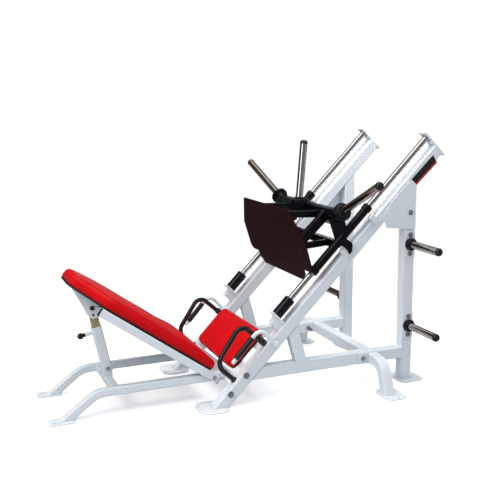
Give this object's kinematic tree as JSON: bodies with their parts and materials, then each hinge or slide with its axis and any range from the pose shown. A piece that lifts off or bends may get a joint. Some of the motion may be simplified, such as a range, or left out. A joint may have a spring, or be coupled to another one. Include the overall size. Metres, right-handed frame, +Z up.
{
  "type": "leg press machine",
  "caption": "Inclined leg press: red seat and reclining backrest, white tube frame, weight carriage on chrome guide rods, plate storage horns.",
  "frame": {"origin": "on the floor at the middle of the footprint", "axes": "+Z up, +X from the head of the backrest toward the storage uprights, +Y toward the left of a seated user"},
  "size_m": [2.565, 1.8922, 1.6296],
  "materials": {
    "white_frame": "gloss white powder coat",
    "black_frame": "satin black powder coat",
    "chrome": "polished",
    "rubber": "matt black",
    "red_vinyl": "soft gloss vinyl",
    "black_board": "matt black backing",
    "gold_zinc": "yellow zinc",
    "steel": "zinc plated",
    "black_plastic": "glossy black",
    "foot_plate": "fine textured dark coat"
  },
  "bodies": {
    "frame": {"front_base": "white_frame", "rail_left": "white_frame", "side_frame_left": "white_frame", "gusset_left": "white_frame", "outrigger_left": "white_frame", "guide_rod_left": "chrome", "bumper_left": "rubber", "grab_handle_left": "rubber", "backrest_pivot_bolt_left": "steel", "storage_plate_upper_left": "white_frame", "storage_horn_upper_left": "chrome", "storage_collar_upper_left": "rubber", "storage_cap_upper_left": "rubber", "storage_plate_lower_left": "white_frame", "storage_horn_lower_left": "chrome", "storage_collar_lower_left": "rubber", "storage_cap_lower_left": "rubber", "rail_right": "white_frame", "side_frame_right": "white_frame", "gusset_right": "white_frame", "outrigger_right": "white_frame", "guide_rod_right": "chrome", "bumper_right": "rubber", "grab_handle_right": "rubber", "backrest_pivot_bolt_right": "steel", "storage_plate_upper_right": "white_frame", "storage_horn_upper_right": "chrome", "storage_collar_upper_right": "rubber", "storage_cap_upper_right": "rubber", "storage_plate_lower_right": "white_frame", "storage_horn_lower_right": "chrome", "storage_collar_lower_right": "rubber", "storage_cap_lower_right": "rubber", "cross_brace": "white_frame", "seat_frame": "white_frame", "seat_board": "black_board", "seat_pad": "red_vinyl", "post_base_bolt": "steel"},
    "carriage": {"carriage_frame": "black_frame", "foot_plate": "foot_plate", "carriage_horn_centre": "chrome", "carriage_horn_left": "chrome", "carriage_horn_right": "chrome", "carriage_collar_centre": "rubber", "carriage_collar_left": "rubber", "carriage_collar_right": "rubber", "carriage_cap_centre": "rubber", "carriage_cap_left": "rubber", "carriage_cap_right": "rubber"},
    "backrest": {"backrest_frame": "white_frame", "backrest_board": "black_board", "backrest_pad": "red_vinyl"},
    "post": {"post_sleeve": "white_frame"},
    "post_inner": {"post_inner_tube": "gold_zinc"},
    "pin": {"pull_pin": "black_plastic"},
    "lever_left": {"lock_lever_left": "white_frame", "lock_grip_left": "rubber"},
    "lever_right": {"lock_lever_right": "white_frame", "lock_grip_right": "rubber"}
  },
  "joints": [
    {"name": "carriage_slide", "type": "slide", "parent": "frame", "child": "carriage", "axis": [0.7071, 0, 0.7071], "range_m": [-0.21, 0.585]},
    {"name": "backrest_recline", "type": "hinge", "parent": "frame", "child": "backrest", "pos_m": [-0.2725, 0, 0.153], "axis": [0, 1, 0], "range_deg": [0, 8]},
    {"name": "post_tilt", "type": "hinge", "parent": "frame", "child": "post", "pos_m": [-0.8805, 0, 0.216], "axis": [0, 1, 0], "range_deg": [-0.5, 10.99]},
    {"name": "post_extend", "type": "slide", "parent": "post", "child": "post_inner", "axis": [-0.1982, 0, 0.9802], "range_m": [-0.001, 0.0834]},
    {"name": "pull_pin_slide", "type": "slide", "parent": "post", "child": "pin", "axis": [-0.9802, 0, -0.1982], "range_m": [0, 0.012]},
    {"name": "lock_lever_left_turn", "type": "hinge", "parent": "frame", "child": "lever_left", "pos_m": [0.0745, 0.452, 0.368], "axis": [0, 1, 0], "range_deg": [0, 55]},
    {"name": "lock_lever_right_turn", "type": "hinge", "parent": "frame", "child": "lever_right", "pos_m": [0.0745, -0.452, 0.368], "axis": [0, 1, 0], "range_deg": [0, 55]}
  ],
  "couplings": [
    {"joint": "post_tilt", "follows": "backrest_recline", "ratio": 1.3117},
    {"joint": "post_extend", "follows": "backrest_recline", "m_per_rad": 0.59034}
  ]
}
